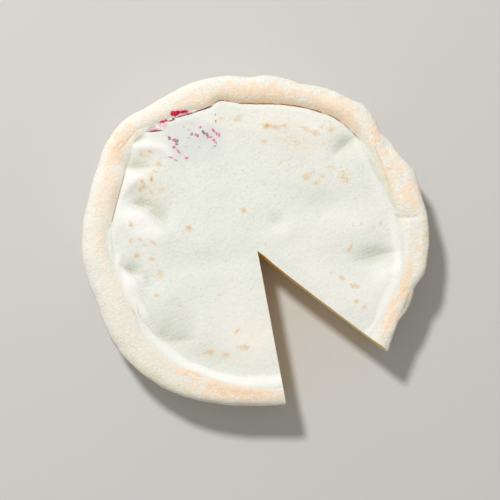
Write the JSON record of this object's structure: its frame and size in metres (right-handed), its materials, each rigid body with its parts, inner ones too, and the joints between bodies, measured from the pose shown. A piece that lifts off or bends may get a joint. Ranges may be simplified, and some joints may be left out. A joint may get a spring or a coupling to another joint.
{
  "type": "reblochon cheese",
  "caption": "Low round soft cheese with a rolled rim, a crease inside the rim, a bloomy dented top and one wedge cut out of it.",
  "frame": {"origin": "middle of the wheel's box, on the flat base that it rests on", "axes": "+Z up through the wheel, +X to the right in the picture, +Y up in the picture; the cut wedge's gap opens towards -Y and a little +X"},
  "size_m": [0.1492, 0.1425, 0.0257],
  "materials": {
    "rind": "white velvety bloom over a peach rind, matt, with pale yellow satin paste at the two cuts"
  },
  "bodies": {
    "root": {"cheese_wheel": "rind"}
  },
  "joints": []
}
